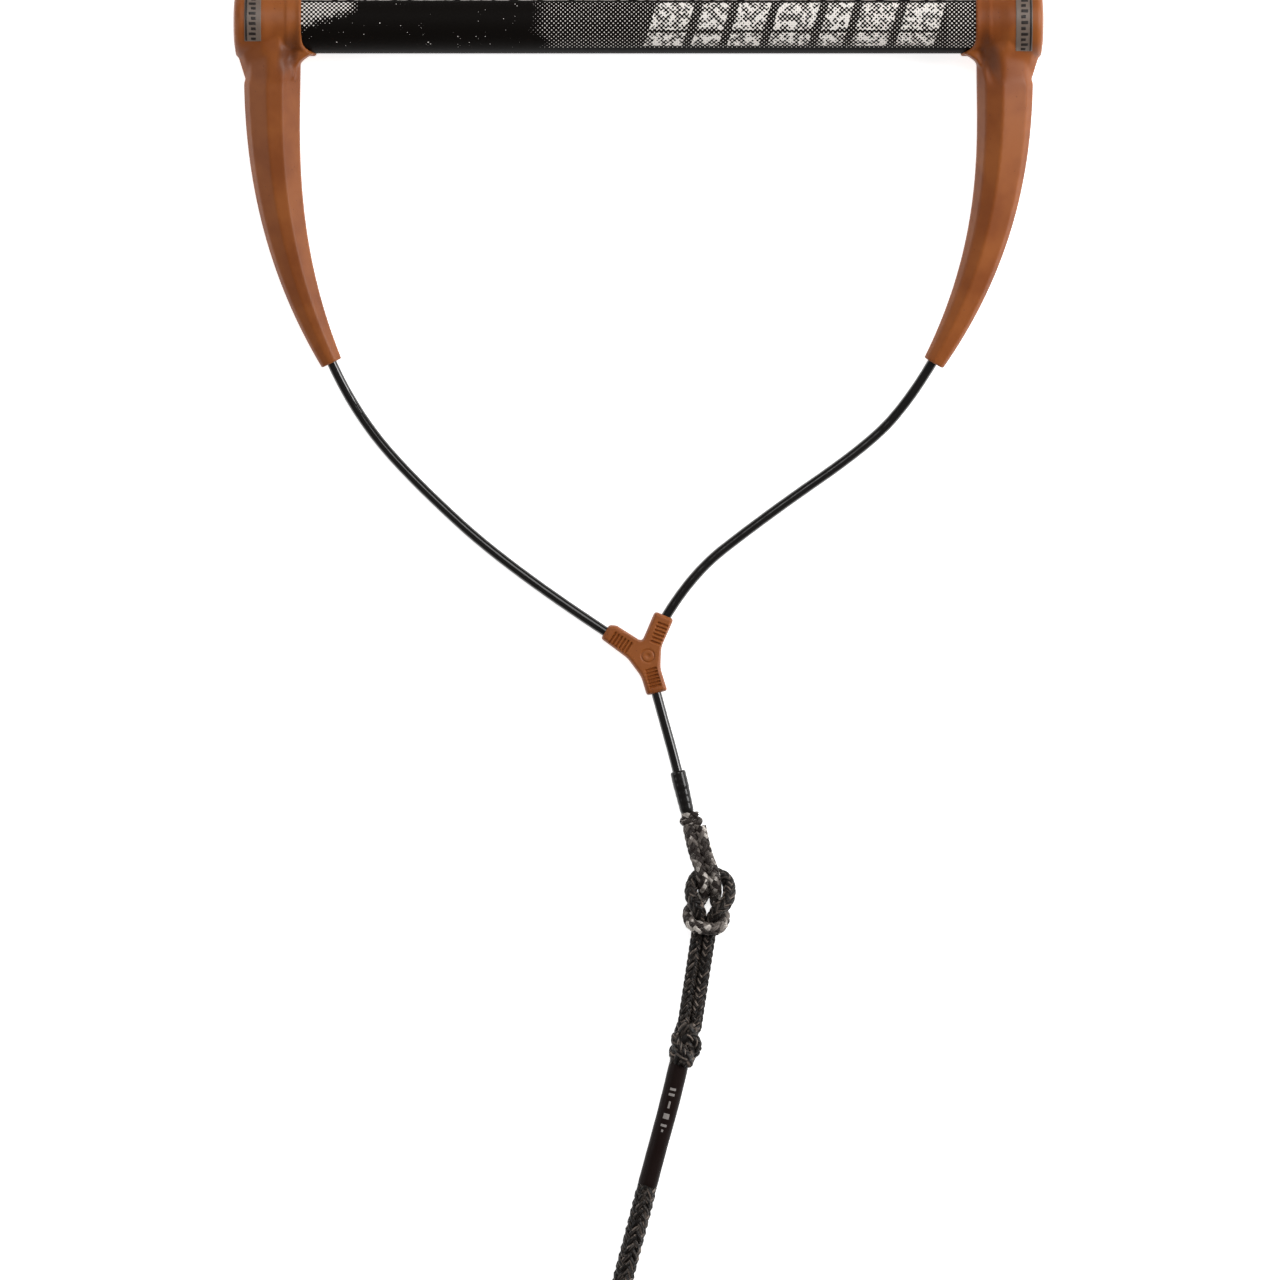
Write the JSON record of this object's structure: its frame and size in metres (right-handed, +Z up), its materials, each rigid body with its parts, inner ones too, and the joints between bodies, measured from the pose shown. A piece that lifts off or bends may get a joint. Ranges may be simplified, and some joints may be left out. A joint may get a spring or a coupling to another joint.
{
  "type": "tow rope handle",
  "caption": "Tow handle for wakeboarding: a gripped bar between two curved moulded end fittings, with a coated bridle, a Y connector and a looped, knotted rope section.",
  "frame": {"origin": "middle of the bar's axis", "axes": "+X along the bar to the right, -Y towards the rope, +Z up from the surface the handle lies on"},
  "size_m": [0.381, 0.7588, 0.034],
  "materials": {
    "tube": "drawn tube",
    "foam": "closed-cell foam",
    "grip": "printed EVA",
    "plug": "moulded",
    "moulding": "moulded, speckled",
    "steel": "stainless",
    "badge": "satin",
    "coated_line": "glossy coating",
    "shrink": "heat-shrunk",
    "flecked_braid": "braided, flecked",
    "black_braid": "braided",
    "label": "satin sleeve"
  },
  "bodies": {
    "handle": {"bar_tube": "tube", "foam_core": "foam", "grip_wrap": "grip", "end_plug_left": "plug", "end_plug_right": "plug", "end_fitting_left": "moulding", "end_fitting_right": "moulding", "end_screw_left": "steel", "end_screw_right": "steel", "end_washer_left": "steel", "end_washer_right": "steel", "badge_left": "badge", "badge_right": "badge", "ferrule_left": "steel", "ferrule_right": "steel"},
    "bridle": {"bridle_line_left": "coated_line", "bridle_line_right": "coated_line", "y_connector": "moulding", "y_splice": "steel", "tail_line": "coated_line"},
    "tail": {"shrink_sleeve": "shrink", "eye_throat": "flecked_braid", "eye_loop": "flecked_braid", "main_loop": "black_braid"},
    "mainline": {"loop_knot": "black_braid", "label_sleeve": "label", "sleeved_rope": "black_braid", "main_rope": "black_braid", "rope_coil": "black_braid", "rope_end": "black_braid", "far_label_sleeve": "label", "far_sleeved_rope": "black_braid", "far_knot": "black_braid", "far_loop": "black_braid"}
  },
  "joints": [
    {"name": "bridle_lift", "type": "hinge", "parent": "handle", "child": "bridle", "pos_m": [0, -0.15999, -0.0114], "axis": [-1, 0, 0], "range_deg": [-90, 90], "deforming": ["bridle_line_left", "bridle_line_right"]},
    {"name": "tail_swing", "type": "hinge", "parent": "bridle", "child": "tail", "pos_m": [0.0092, -0.3185, -0.0126], "axis": [0, 0, 1], "range_deg": [-35, 35], "deforming": ["tail_line"]},
    {"name": "rope_swing", "type": "hinge", "parent": "tail", "child": "mainline", "pos_m": [0.0268, -0.455, -0.0126], "axis": [0, 0, 1], "range_deg": [-40, 40], "deforming": ["main_loop"]}
  ]
}
